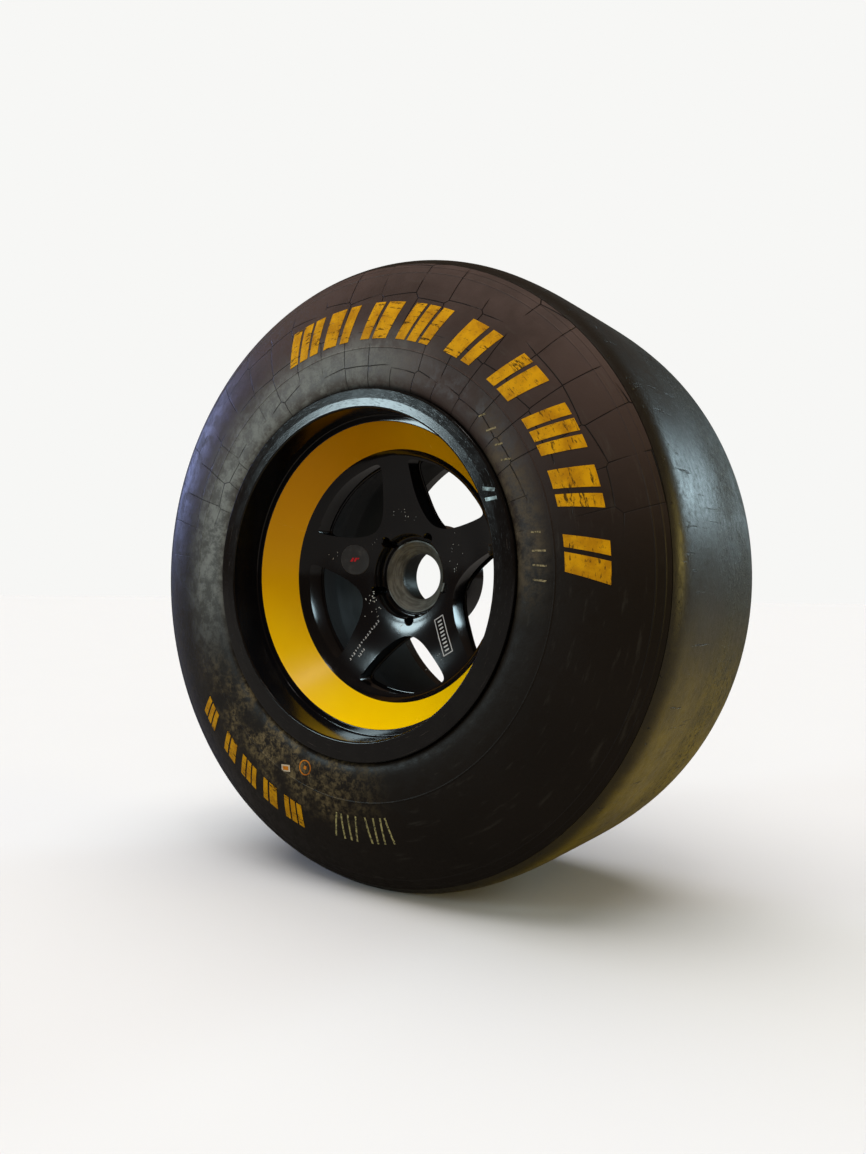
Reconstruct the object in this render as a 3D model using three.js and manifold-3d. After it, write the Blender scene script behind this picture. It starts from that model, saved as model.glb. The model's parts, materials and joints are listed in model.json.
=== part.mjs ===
// A single-seater front wheel: a forged five-spoke centre-lock rim with its slick tyre and valve.
// Millimetres, +Z up. The wheel's axis is Y, the outboard (dished) side faces -Y, and the origin
// is the centre of the wheel. Every ring is a solid of revolution round the Y axis.
import * as THREE from "three";
import { mergeVertices } from "three/addons/utils/BufferGeometryUtils.js";
import Module from "manifold-3d";

const wasm = await Module();
wasm.setup();

// ---- driving dimensions ----
const GAP = 0.3; // left between any two pieces that touch
const SIDES = 28; // flats round every large ring; one flat faces straight down
const SMALL_SIDES = 16;

const RIM_HALF = 146; // wheel centre plane to the outer face of each lip
const LIP_R = 181.5; // outer radius of the rim flange
const LIP_BORE_R = 160.8; // inner edge of the lip
const SEAT_R = 165.1; // 13 inch bead seat
const DISH_R = 153.5; // large end of the painted cone
const DISH_Y = -112;
const CONE_R = 130; // small end of the painted cone, where the centre's ring starts
const CONE_Y = -78;
const WALL = 5; // rim wall
const RING_REAR_Y = -40; // back of the centre's ring
const REAR_MOUTH_R = 157.8; // inside edge of the inboard lip

const SPOKES = 5;
const FIRST_SPOKE = 21; // degrees from +X towards +Z, as for every angle below
const SPOKE_STEP = 360 / SPOKES;
const WINDOW_R = 124.5; // outer edge of a window
const WINDOW_NOSE_R = 59; // hub end of a window
const HUB_CUT_R = 58.9; // the hub boss ends and the spokes start here, just inside the windows
const RING_CUT_R = 124.2; // the spokes end and their ring starts here

const HUB_FACE_Y = -51; // spoke roots
const HUB_FACE_R = 52;
const DISH_BEND_R = 88; // the spokes' faces bend here, half way out
const DISH_BEND_Y = -62;
const HUB_REAR_Y = 9; // face that sits on the car's hub
const HUB_REAR_R = 58;
const RECESS_R = 44; // nut recess
const NUT_SEAT_Y = -37; // front edge of the nut seat
const NUT_SEAT_R = 36.7;
const SEAT_BORE_R = 24.5;
const SPIGOT_R = 30.6;
const INSERT_R = 38.5;
const INSERT_TAIL_R = 35;
const INSERT_STEP_Y = -14;

const PEG_CIRCLE_R = 46; // drive pegs, one behind each window
const PEG_R = 5.15;
const BUSH_R = 7;
const BUSH_FRONT_Y = -12;

const TREAD_R = 317.5; // 25 inch tyre
const TREAD_HALF = 101;
const TREAD_DEPTH = 6.5;
const BELT_DEPTH = 1.8;
const PLY_DEPTH = 2.2;
const LINER_DEPTH = 1.5;

// The valve goes through the cone wall, square to it, on the wheel's right.
const VALVE_AT = 0.53; // how far along the cone, from its small end
const VALVE_ANGLE = 10; // beside the foot of the first spoke
const VALVE_R = 4;
const VALVE_TOP = 9; // stem end above the wall
const CAP_TOP = 12.5;

// ---- helpers ----
const rad = THREE.MathUtils.degToRad;
const flatRadius = (r, sides) => r / Math.cos(Math.PI / sides); // corners for flats at radius r

function counterClockwise(points) {
  const area = THREE.ShapeUtils.area(points);
  return area < 0 ? points.slice().reverse() : points;
}

// A closed ring round Y. The outline is a list of [radius, y] corners.
function ringGeometry(outline, sides = SIDES) {
  const corners = outline.map(([r, y]) => new THREE.Vector2(flatRadius(r, sides), y));
  const loop = counterClockwise(corners);
  loop.push(loop[0].clone());
  return new THREE.LatheGeometry(loop, sides, Math.PI / sides, 2 * Math.PI);
}

// A solid round Y whose outline starts and ends on the axis, listed from low y to high y.
function turnedGeometry(outline, sides = SMALL_SIDES) {
  const corners = outline.map(([r, y]) => new THREE.Vector2(r && flatRadius(r, sides), y));
  return new THREE.LatheGeometry(corners, sides, Math.PI / sides, 2 * Math.PI);
}

const mirrored = (outline) => outline.map(([r, y]) => [r, -y]);

function toSolid(geometry) {
  const bare = geometry.clone();
  bare.deleteAttribute("normal");
  bare.deleteAttribute("uv");
  const merged = mergeVertices(bare, 1e-3);
  return new wasm.Manifold(
    new wasm.Mesh({
      numProp: 3,
      vertProperties: merged.getAttribute("position").array,
      triVerts: new Uint32Array(merged.index.array),
    }),
  );
}

function fromSolid(solid) {
  const mesh = solid.getMesh();
  const geometry = new THREE.BufferGeometry();
  geometry.setAttribute("position", new THREE.BufferAttribute(mesh.vertProperties, 3));
  geometry.setIndex(new THREE.BufferAttribute(mesh.triVerts, 1));
  geometry.computeVertexNormals();
  return geometry;
}

// A prism whose outline lies in X and Z, from y = front to y = rear.
function prism(shape, front, rear, curveSegments = 8) {
  const options = { depth: rear - front, bevelEnabled: false, curveSegments };
  return new THREE.ExtrudeGeometry(shape, options).rotateX(Math.PI / 2).translate(0, rear, 0);
}

// The same prism turned round the wheel's axis, so that the shape's +X points at the angle.
const prismAt = (shape, angle, front, rear, curveSegments) =>
  prism(shape, front, rear, curveSegments).rotateY(-rad(angle));

function pegHole(angle, radius, front, rear) {
  const shape = new THREE.Shape().absarc(PEG_CIRCLE_R, 0, radius, 0, 2 * Math.PI);
  return prismAt(shape, angle, front, rear, SMALL_SIDES / 2);
}

const wheel = new THREE.Group();

function add(parent, name, geometry, material) {
  const mesh = new THREE.Mesh(geometry, material);
  mesh.name = name;
  parent.add(mesh);
  return mesh;
}

// ---- materials ----
function paint(color, roughness, metalness = 0) {
  return () => new THREE.MeshStandardMaterial({ color, roughness, metalness });
}
const blackGloss = paint(0x0b0c0f, 0.18, 0.3);
const blackBarrel = paint(0x0b0c0f, 0.2, 0.3);
const darkGrey = paint(0x1f2021, 0.6, 0.2);
const seatMetal = paint(0x6f6a60, 0.4, 0.9);
const steel = paint(0x8a8c8f, 0.35, 1);
const brass = paint(0xb08a3c, 0.35, 1);
const treadRubber = paint(0x23272a, 0.75);
const sidewallRubber = paint(0x1e1915, 0.65);
const innerRubber = paint(0x141414, 0.8);
const blackPlastic = paint(0x101010, 0.5);
const stickerGrey = paint(0x2b2a2b, 0.55);
const stickerWhite = paint(0xd8dadb, 0.5);
const foil = paint(0xa9b3b2, 0.35, 0.6);

// ---- rim ----
// Lip, flange and bead seat of the inboard side; the outboard side mirrors it.
const FLANGE = [
  [162.6, RIM_HALF],
  [166, RIM_HALF - 0.6],
  [178, RIM_HALF - 1.7],
  [LIP_R, RIM_HALF - 3.5],
  [LIP_R - 0.4, RIM_HALF - 7.5],
  [172, RIM_HALF - 13],
  [166.5, RIM_HALF - 15.5],
  [SEAT_R, RIM_HALF - 19],
  [SEAT_R - 1.5, RIM_HALF - 36],
];

const coneLength = Math.hypot(DISH_R - CONE_R, DISH_Y - CONE_Y);
const coneNormal = [(CONE_Y - DISH_Y) / coneLength, (DISH_R - CONE_R) / coneLength];

function outboardBarrel() {
  const [nr, ny] = coneNormal; // from the dish side to the air side
  const inner = [
    [CONE_R, CONE_Y - GAP],
    [DISH_R, DISH_Y],
    [LIP_BORE_R - 0.8, DISH_Y - 1.5],
    [LIP_BORE_R, -RIM_HALF + 4],
    [LIP_BORE_R + 0.8, -RIM_HALF + 1],
  ];
  const outer = [
    [DISH_R + nr * WALL, DISH_Y + ny * WALL],
    [CONE_R + WALL / nr, CONE_Y - GAP],
  ];
  const shell = toSolid(ringGeometry([...inner, ...mirrored(FLANGE), ...outer]));
  const hole = toSolid(placedOnValve(new THREE.CylinderGeometry(
    VALVE_R + GAP, VALVE_R + GAP, 4 * WALL, SMALL_SIDES)));
  return fromSolid(shell.subtract(hole));
}

function inboardBarrel() {
  const inner = [
    [REAR_MOUTH_R + 1, RIM_HALF - 1],
    [REAR_MOUTH_R, RIM_HALF - 6],
    [156, 40],
    [149, 8],
    [132, -30],
    [CONE_R, RING_REAR_Y + GAP],
  ];
  const outer = [
    [CONE_R + WALL + 0.5, RING_REAR_Y + GAP],
    [138, -31],
    [154.5, 6],
    [161, 39],
    [162.8, 104],
  ];
  return ringGeometry([...outer, ...FLANGE.slice().reverse(), ...inner]);
}

// One window between two spokes, pointing along the shape's +X. The spoke's flank runs straight
// from the ring and then curves round the hub.
function windowShape() {
  const noseControl = 22;
  const flank = [98, 53.7];
  const corner = [108.3, 62.2];
  const arcEnd = rad(24);
  const shape = new THREE.Shape();
  shape.moveTo(WINDOW_NOSE_R, 0);
  shape.quadraticCurveTo(WINDOW_NOSE_R, noseControl, ...flank);
  shape.quadraticCurveTo(...corner, WINDOW_R * Math.cos(arcEnd), WINDOW_R * Math.sin(arcEnd));
  shape.absarc(0, 0, WINDOW_R, arcEnd, -arcEnd, true);
  shape.quadraticCurveTo(corner[0], -corner[1], flank[0], -flank[1]);
  shape.quadraticCurveTo(WINDOW_NOSE_R, -noseControl, WINDOW_NOSE_R, 0);
  return shape;
}

const spokeAngles = Array.from({ length: SPOKES }, (_, i) => FIRST_SPOKE + i * SPOKE_STEP);
const windowAngles = spokeAngles.map((angle) => angle + SPOKE_STEP / 2);

const CENTRE_FRONT = CONE_Y - 10; // clear of the centre on both sides
const CENTRE_REAR = HUB_REAR_Y + 10;

// The centre of the forging, whole: hub, spokes and ring.
function centreSolid() {
  const front = [
    [RECESS_R, HUB_FACE_Y],
    [HUB_FACE_R, HUB_FACE_Y - 1],
    [DISH_BEND_R, DISH_BEND_Y],
    [120, -69],
    [CONE_R, CONE_Y],
  ];
  const rim = [
    [CONE_R + WALL + 0.5, CONE_Y],
    [CONE_R + WALL + 0.5, RING_REAR_Y],
    [CONE_R - 1, RING_REAR_Y],
  ];
  const rear = [
    [120, -45],
    [84, -32],
    [HUB_CUT_R, -24],
    [HUB_REAR_R, HUB_REAR_Y],
    [INSERT_TAIL_R + GAP, HUB_REAR_Y],
  ];
  const bore = [
    [INSERT_TAIL_R + GAP, INSERT_STEP_Y],
    [INSERT_R + GAP, INSERT_STEP_Y],
    [INSERT_R + GAP, NUT_SEAT_Y + 0.5],
    [RECESS_R, NUT_SEAT_Y + 0.5],
  ];
  let solid = toSolid(ringGeometry([...front, ...rim, ...rear, ...bore]));
  for (const angle of windowAngles) {
    const cutters = [
      prismAt(windowShape(), angle, CENTRE_FRONT, CENTRE_REAR),
      pegHole(angle, PEG_R, CENTRE_FRONT, CENTRE_REAR),
      pegHole(angle, BUSH_R + GAP, BUSH_FRONT_Y - GAP, CENTRE_REAR),
    ];
    for (const cutter of cutters) solid = solid.subtract(toSolid(cutter));
  }
  return solid;
}

const centre = centreSolid();

function centreBetween(inner, outer) {
  const band = ringGeometry([
    [inner, CENTRE_FRONT],
    [outer, CENTRE_FRONT],
    [outer, CENTRE_REAR],
    [inner, CENTRE_REAR],
  ], 2 * SIDES);
  return centre.intersect(toSolid(band));
}

const hubBoss = () => fromSolid(centreBetween(SPIGOT_R, HUB_CUT_R));
const spokeRing = () => fromSolid(centreBetween(RING_CUT_R, LIP_BORE_R));

const arms = centreBetween(HUB_CUT_R + GAP, RING_CUT_R - GAP);

function spoke(angle) {
  const halfStep = rad(SPOKE_STEP / 2);
  const reach = [LIP_R * Math.cos(halfStep), LIP_R * Math.sin(halfStep)];
  const sector = new THREE.Shape();
  sector.moveTo(0, 0);
  sector.lineTo(reach[0], -reach[1]);
  sector.lineTo(...reach);
  sector.closePath();
  return fromSolid(arms.intersect(toSolid(prismAt(sector, angle, CENTRE_FRONT, CENTRE_REAR))));
}

function nutSeatInsert() {
  return ringGeometry([
    [NUT_SEAT_R, NUT_SEAT_Y],
    [INSERT_R, NUT_SEAT_Y],
    [INSERT_R, INSERT_STEP_Y - GAP],
    [INSERT_TAIL_R, INSERT_STEP_Y - GAP],
    [INSERT_TAIL_R, HUB_REAR_Y - 0.5],
    [SPIGOT_R, HUB_REAR_Y - 0.5],
    [SPIGOT_R, -20],
    [SEAT_BORE_R, -22],
    [SEAT_BORE_R, NUT_SEAT_Y + 11],
  ]);
}

function driveBush(angle) {
  const shape = new THREE.Shape().absarc(PEG_CIRCLE_R, 0, BUSH_R, 0, 2 * Math.PI);
  shape.holes.push(new THREE.Path().absarc(PEG_CIRCLE_R, 0, PEG_R, 0, 2 * Math.PI, true));
  return prismAt(shape, angle, BUSH_FRONT_Y, HUB_REAR_Y - 0.5, SMALL_SIDES / 2);
}

// ---- tyre ----
// The crown: a cylinder in the middle, then two cones down to the shoulder, as [y, drop] corners.
const CROWN = [
  [45, 0],
  [78, 0.9],
  [TREAD_HALF, 5],
];

function crownDrop(y) {
  const i = CROWN.findIndex(([edge]) => edge >= y);
  const [y1, drop1] = CROWN[i];
  const [y0, drop0] = CROWN[Math.max(i - 1, 0)];
  return y1 === y0 ? drop1 : drop0 + ((drop1 - drop0) * (y - y0)) / (y1 - y0);
}

// The crown's corners at one depth, from y = +half to -half.
function crownLine(depth, half) {
  const ys = [half, ...CROWN.map(([y]) => y).filter((y) => y < half).reverse()];
  const right = ys.map((y) => [TREAD_R - crownDrop(y) - depth, y]);
  return [...right, ...mirrored(right).reverse()];
}

// A band round the crown, between two depths.
const crownBand = (top, bottom, half) => [
  ...crownLine(top, half),
  ...crownLine(bottom, half).reverse(),
];

// The tread laps over the top of each sidewall.
const SHOULDER = [
  [302.2, 104.3],
  [307.4, 108.3],
];

function treadBand() {
  const [inner, outer] = SHOULDER;
  const top = [outer, ...crownLine(0, TREAD_HALF), ...mirrored([outer])];
  const bottom = [inner, ...crownLine(TREAD_DEPTH, TREAD_HALF), ...mirrored([inner])];
  return [...top, ...bottom.reverse()];
}

// The outside of a sidewall from the shoulder down to the rim flange.
const SIDEWALL = [
  [307, 109],
  [298, 116],
  [280, 125.5],
  [250, 136.5],
  [218, 142.8],
  [198, 143.2],
  [183.5, 141],
];
// Down the flange to the bead heel.
const HEEL = [
  [LIP_R + 0.5, RIM_HALF - 7],
  [172.2, RIM_HALF - 13.7],
  [166.8, RIM_HALF - 16.1],
  [SEAT_R + 0.4, RIM_HALF - 19.4],
];
// The line between the sidewall and the ply, from the bead up to the shoulder.
const PLY_LINE = [
  [165.4, 124],
  [176, 126],
  [200, 137],
  [217.5, 137.6],
  [250, 130.7],
  [280, 119.6],
  [301, 104.8],
];
const BEAD_TOP_R = 176.2;
const PLY_LEVEL = TREAD_DEPTH + 2 * BELT_DEPTH + 3 * GAP;

const sidewall = () => [...SIDEWALL, ...HEEL, ...PLY_LINE];

const beadCore = () => [
  [167, 116.8],
  [175.6, 116.8],
  [175.6, 125.4],
  [167, 123.8],
];

const beadFiller = () => [
  [BEAD_TOP_R, 116.8],
  [BEAD_TOP_R, 125.5],
  [198, 135.4],
  [196, 131.6],
];

// The ply's own outside: up the inside of the bead, then along the sidewall, then under the belts.
const PLY_SIDE = [
  [164.9, 116.2],
  [177, 116.2],
  [200.4, 133.2],
  [217.3, 137],
  [249.8, 130.3],
  [279.8, 119.1],
  [300.6, 104.3],
];

// A closed layer from one bead to the other that follows the ply's side and the crown.
function bandedLayer(outside, inside, crownTop, crownBottom) {
  const whole = (side, depth) => [...side, ...crownLine(depth, 90), ...mirrored(side).reverse()];
  return [...whole(outside, crownTop), ...whole(inside, crownBottom).reverse()];
}

// Moves a line of corners inwards, square to each corner's neighbours.
function inset(line, distance) {
  return line.map(([r, y], i) => {
    const [r0, y0] = line[Math.max(i - 1, 0)];
    const [r1, y1] = line[Math.min(i + 1, line.length - 1)];
    const length = Math.hypot(r1 - r0, y1 - y0);
    const turn = distance / length;
    return [r + (y1 - y0) * turn, y - (r1 - r0) * turn];
  });
}

// ---- valve ----
const valveBase = (() => {
  const r = CONE_R + (DISH_R - CONE_R) * VALVE_AT;
  const y = CONE_Y + (DISH_Y - CONE_Y) * VALVE_AT;
  return new THREE.Vector3(r * Math.cos(rad(VALVE_ANGLE)), y, r * Math.sin(rad(VALVE_ANGLE)));
})();
const valveAxis = new THREE.Vector3(
  -coneNormal[0] * Math.cos(rad(VALVE_ANGLE)),
  -coneNormal[1],
  -coneNormal[0] * Math.sin(rad(VALVE_ANGLE)),
);
const valveTurn = new THREE.Quaternion().setFromUnitVectors(new THREE.Vector3(0, 1, 0), valveAxis);

function placedOnValve(geometry) {
  return geometry.applyQuaternion(valveTurn).translate(valveBase.x, valveBase.y, valveBase.z);
}

// All valve outlines are [radius, height above the dish side of the rim wall].
const HEAD_R = 8;
const HEAD_LOW = -10.3;
const HEAD_HIGH = -7.3;
const STEM_BORE_R = 2.6;
const NUT_LOW = 1.4;
const NUT_HIGH = 4.9;

const valveStem = () => ringGeometry([
  [STEM_BORE_R, HEAD_LOW],
  [HEAD_R, HEAD_LOW],
  [HEAD_R, HEAD_HIGH],
  [VALVE_R, HEAD_HIGH],
  [VALVE_R, VALVE_TOP - 0.5],
  [VALVE_R - 0.5, VALVE_TOP],
  [STEM_BORE_R, VALVE_TOP],
], SMALL_SIDES);

const washer = (outer, low, high) => ringGeometry([
  [VALVE_R + GAP, low],
  [outer, low],
  [outer, high],
  [VALVE_R + GAP, high],
], SMALL_SIDES);

function hexNut() {
  const hexagon = new THREE.Shape();
  const corner = 6 / Math.cos(Math.PI / 6);
  for (let i = 0; i < 6; i++) {
    const angle = (i * Math.PI) / 3;
    hexagon[i ? "lineTo" : "moveTo"](corner * Math.cos(angle), corner * Math.sin(angle));
  }
  hexagon.closePath();
  hexagon.holes.push(new THREE.Path().absarc(0, 0, VALVE_R + GAP, 0, 2 * Math.PI, true));
  return prism(hexagon, NUT_LOW, NUT_HIGH, SMALL_SIDES / 2);
}

const CORE_SEAT = 0.7; // shoulder in the core that the spring would bear on
const CORE_BORE_R = 1.75;
const coreBody = () => ringGeometry([
  [0.9, -4],
  [STEM_BORE_R - GAP, -4],
  [STEM_BORE_R - GAP, VALVE_TOP - 0.6],
  [CORE_BORE_R, VALVE_TOP - 0.6],
  [CORE_BORE_R, CORE_SEAT],
  [0.9, CORE_SEAT],
], SMALL_SIDES);

const PIN_R = 0.55;
const COLLAR_LOW = 6.3;
const PLUNGER_HIGH = -4.4;
const corePin = () => turnedGeometry([
  [0, PLUNGER_HIGH - 1.2],
  [2.1, PLUNGER_HIGH - 1.2],
  [2.1, PLUNGER_HIGH],
  [PIN_R, PLUNGER_HIGH],
  [PIN_R, COLLAR_LOW],
  [1.4, COLLAR_LOW],
  [1.4, COLLAR_LOW + 0.6],
  [PIN_R, COLLAR_LOW + 0.6],
  [PIN_R, VALVE_TOP - 0.3],
  [0, VALVE_TOP - 0.3],
], 12);

// A helix round the pin, under its collar.
class SpringCurve extends THREE.Curve {
  constructor(radius, low, high, turns) {
    super();
    Object.assign(this, { radius, low, high, turns });
  }
  getPoint(t, target = new THREE.Vector3()) {
    const angle = t * this.turns * 2 * Math.PI;
    const height = this.low + (this.high - this.low) * t;
    return target.set(this.radius * Math.cos(angle), height, this.radius * Math.sin(angle));
  }
}

function coreSpring() {
  const wireR = 0.17;
  const steps = 28;
  const section = new THREE.Shape();
  for (let i = 0; i < 6; i++) {
    const angle = (i * Math.PI) / 3;
    section[i ? "lineTo" : "moveTo"](wireR * Math.cos(angle), wireR * Math.sin(angle));
  }
  section.closePath();
  const path = new SpringCurve(1.15, 2.6, COLLAR_LOW - GAP - wireR, 4);
  return new THREE.ExtrudeGeometry(section, { steps, bevelEnabled: false, extrudePath: path });
}

const CAP_BORE_R = VALVE_R + 0.35;
const CAP_R = 5.2;
const CAP_ROOF = CAP_TOP - 1.2;
const valveCap = () => turnedGeometry([
  [0, CAP_ROOF],
  [CAP_BORE_R, CAP_ROOF],
  [CAP_BORE_R, NUT_HIGH + GAP],
  [CAP_R, NUT_HIGH + GAP],
  [CAP_R, CAP_TOP - 0.6],
  [CAP_R - 0.6, CAP_TOP],
  [0, CAP_TOP],
]);
const capSeal = () => turnedGeometry([
  [0, VALVE_TOP + GAP],
  [CAP_BORE_R - GAP, VALVE_TOP + GAP],
  [CAP_BORE_R - GAP, CAP_ROOF - GAP],
  [0, CAP_ROOF - GAP],
]);

// ---- trim stuck on the outboard side ----
// A thin slab centred at radius r on a face that runs from one [radius, y] to another.
// The skew turns the slab in its own plane, away from pointing outwards.
function slabOn(shape, { angle, r, skew = 0, clear, thickness }, [[r0, y0], [r1, y1]]) {
  const slope = Math.atan2(y1 - y0, r1 - r0);
  const slab = prism(shape, 0, thickness, 10).rotateY(-rad(skew));
  const y = y0 + ((y1 - y0) * (r - r0)) / (r1 - r0);
  slab.translate(0, -clear - thickness, 0).rotateZ(slope);
  return slab.translate(r, y, 0).rotateY(-rad(angle));
}

function rectangle(length, width) {
  const shape = new THREE.Shape();
  shape.moveTo(-length / 2, -width / 2);
  shape.lineTo(length / 2, -width / 2);
  shape.lineTo(length / 2, width / 2);
  shape.lineTo(-length / 2, width / 2);
  shape.closePath();
  return shape;
}

// ---- assembly ----
add(wheel, "outboard_barrel", outboardBarrel(), blackBarrel());
add(wheel, "hub_boss", hubBoss(), blackGloss());
spokeAngles.forEach((angle, i) => add(wheel, `spoke_${i + 1}`, spoke(angle), blackGloss()));
add(wheel, "spoke_ring", spokeRing(), blackGloss());
add(wheel, "inboard_barrel", inboardBarrel(), darkGrey());
add(wheel, "nut_seat_insert", nutSeatInsert(), seatMetal());
windowAngles.forEach((angle, i) => add(wheel, `drive_bush_${i + 1}`, driveBush(angle), steel()));

const tyre = new THREE.Group();
wheel.add(tyre);
const beltTop = TREAD_DEPTH + GAP;
const innerBeltTop = beltTop + BELT_DEPTH + GAP;
const plyInside = inset(PLY_SIDE, PLY_DEPTH);
const linerOutside = inset(PLY_SIDE, PLY_DEPTH + GAP);
const linerInside = inset(PLY_SIDE, PLY_DEPTH + GAP + LINER_DEPTH);
const plyBottom = PLY_LEVEL + PLY_DEPTH;
const linerTop = plyBottom + GAP;
const ply = bandedLayer(PLY_SIDE, plyInside, PLY_LEVEL, plyBottom);
const liner = bandedLayer(linerOutside, linerInside, linerTop, linerTop + LINER_DEPTH);
add(tyre, "tread", ringGeometry(treadBand()), treadRubber());
add(tyre, "outer_belt",
  ringGeometry(crownBand(beltTop, beltTop + BELT_DEPTH, 97)), innerRubber());
add(tyre, "inner_belt",
  ringGeometry(crownBand(innerBeltTop, innerBeltTop + BELT_DEPTH, 94)), innerRubber());
add(tyre, "carcass_ply", ringGeometry(ply), innerRubber());
add(tyre, "inner_liner", ringGeometry(liner), innerRubber());
for (const [side, outline] of [["inboard", (line) => line], ["outboard", mirrored]]) {
  add(tyre, `${side}_sidewall`, ringGeometry(outline(sidewall())), sidewallRubber());
  add(tyre, `${side}_bead_core`, ringGeometry(outline(beadCore())), steel());
  add(tyre, `${side}_bead_filler`, ringGeometry(outline(beadFiller())), innerRubber());
}

const valve = new THREE.Group();
valve.position.copy(valveBase);
valve.quaternion.copy(valveTurn);
wheel.add(valve);
add(valve, "valve_stem", valveStem(), brass());
add(valve, "valve_grommet", washer(HEAD_R, HEAD_HIGH + GAP, -WALL - 2 * GAP), blackPlastic());
add(valve, "valve_washer", washer(7, GAP, NUT_LOW - GAP), steel());
add(valve, "valve_nut", hexNut(), steel());
add(valve, "valve_core_body", coreBody(), brass());
add(valve, "valve_core_pin", corePin(), brass());
add(valve, "valve_core_spring", coreSpring(), steel());
add(valve, "valve_cap", valveCap(), blackPlastic());
add(valve, "valve_cap_seal", capSeal(), blackPlastic());

const spokeFace = [[HUB_FACE_R, HUB_FACE_Y - 1], [DISH_BEND_R, DISH_BEND_Y]];
const lipFace = mirrored(FLANGE.slice(1, 3));
const disc = new THREE.Shape().absarc(0, 0, 16.5, 0, 2 * Math.PI);
const discPlace = { angle: 165, r: 69, clear: 3 * GAP, thickness: 0.4 };
add(wheel, "round_sticker", slabOn(disc, discPlace, spokeFace), stickerGrey());
const labelPlace = { angle: 311, r: 77, skew: -12, clear: 2 * GAP, thickness: 0.3 };
add(wheel, "spoke_label", slabOn(rectangle(36, 12), labelPlace, spokeFace), stickerWhite());
[[25.5, 172, -32], [22.6, 170.5, -14]].forEach(([angle, r, skew], i) => {
  const place = { angle, r, skew, clear: GAP, thickness: 0.25 };
  add(wheel, `lip_strip_${i + 1}`, slabOn(rectangle(12, 3.2), place, lipFace), foil());
});

export default wheel;
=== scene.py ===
"""Looks for a single-seater front wheel: forged centre-lock rim, slick tyre and valve.

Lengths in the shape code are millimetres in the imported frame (wheel axis Y, outboard side -Y)
and become metres in make_mesh(). Angles are degrees from +X towards +Z.
"""
import json
import math
import random

import bmesh
import bpy
import numpy as np
from mathutils import Matrix, Vector


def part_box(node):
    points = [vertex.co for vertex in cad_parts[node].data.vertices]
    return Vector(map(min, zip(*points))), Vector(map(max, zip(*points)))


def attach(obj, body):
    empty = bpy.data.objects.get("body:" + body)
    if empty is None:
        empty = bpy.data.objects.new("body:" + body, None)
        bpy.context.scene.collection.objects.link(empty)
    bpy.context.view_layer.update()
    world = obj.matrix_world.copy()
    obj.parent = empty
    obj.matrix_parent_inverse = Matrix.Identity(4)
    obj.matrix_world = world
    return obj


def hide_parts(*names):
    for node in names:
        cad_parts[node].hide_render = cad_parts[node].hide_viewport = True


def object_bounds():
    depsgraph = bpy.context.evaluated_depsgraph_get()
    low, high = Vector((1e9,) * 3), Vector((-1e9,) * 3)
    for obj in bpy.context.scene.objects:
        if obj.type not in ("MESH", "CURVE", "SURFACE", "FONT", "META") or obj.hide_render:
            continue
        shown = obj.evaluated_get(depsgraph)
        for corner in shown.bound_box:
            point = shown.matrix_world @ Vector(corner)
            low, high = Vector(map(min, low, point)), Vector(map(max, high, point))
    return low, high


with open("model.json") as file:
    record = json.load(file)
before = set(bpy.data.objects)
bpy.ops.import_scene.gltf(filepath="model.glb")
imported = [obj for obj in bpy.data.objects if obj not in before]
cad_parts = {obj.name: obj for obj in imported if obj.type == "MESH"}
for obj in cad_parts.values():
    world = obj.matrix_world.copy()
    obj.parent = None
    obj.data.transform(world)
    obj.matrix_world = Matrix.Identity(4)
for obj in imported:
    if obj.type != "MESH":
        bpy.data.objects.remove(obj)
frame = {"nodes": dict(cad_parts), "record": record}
cad_box = [list(corner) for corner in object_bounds()]

MM = 0.001
FLOOR_Z = cad_box[0][2]
TREAD_R = cad_box[1][0] / MM  # 317.5
RIM_HALF = cad_box[1][1] / MM  # 146
HUB_REAR_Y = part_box("hub_boss")[1][1] / MM  # 9
FLANGE_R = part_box("inboard_barrel")[1][0] / MM  # 181.5

SPOKES = 5
HALF = 180 / SPOKES  # window centre to spoke centre
WINDOW_ANGLES = [57 + 360 / SPOKES * i for i in range(SPOKES)]
CONE_R, CONE_Y = 130, -78  # small end of the yellow cone
DISH_R, DISH_Y = 153.5, -112  # its large end
RECESS_R = 44
PEG_CIRCLE_R = 46
PEG_R = 5.15
PEG_SIDES = 40


# ---------------- mesh helpers
def make_mesh(name, verts, faces, materials, slots=None, smooth_angle=34):
    mesh = bpy.data.meshes.new(name)
    mesh.from_pydata([tuple(np.multiply(v, MM)) for v in verts], [], faces)
    for material in materials:
        mesh.materials.append(material)
    if slots is not None:
        mesh.polygons.foreach_set("material_index", slots)
    obj = bpy.data.objects.new(name, mesh)
    bpy.context.collection.objects.link(obj)
    weld_and_smooth(obj, smooth_angle)
    return obj


def weld_and_smooth(obj, smooth_angle):
    work = bmesh.new()
    work.from_mesh(obj.data)
    bmesh.ops.remove_doubles(work, verts=work.verts, dist=2e-6)
    bmesh.ops.recalc_face_normals(work, faces=work.faces)
    work.to_mesh(obj.data)
    work.free()
    obj.data.shade_smooth()
    obj.data.set_sharp_from_angle(angle=math.radians(smooth_angle))


def place(obj, replaces=(), body="wheel"):
    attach(obj, body)
    if replaces:
        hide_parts(*replaces)


def polar(radius, angle, y):
    a = math.radians(angle)
    return (radius * math.cos(a), y, radius * math.sin(a))


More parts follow.
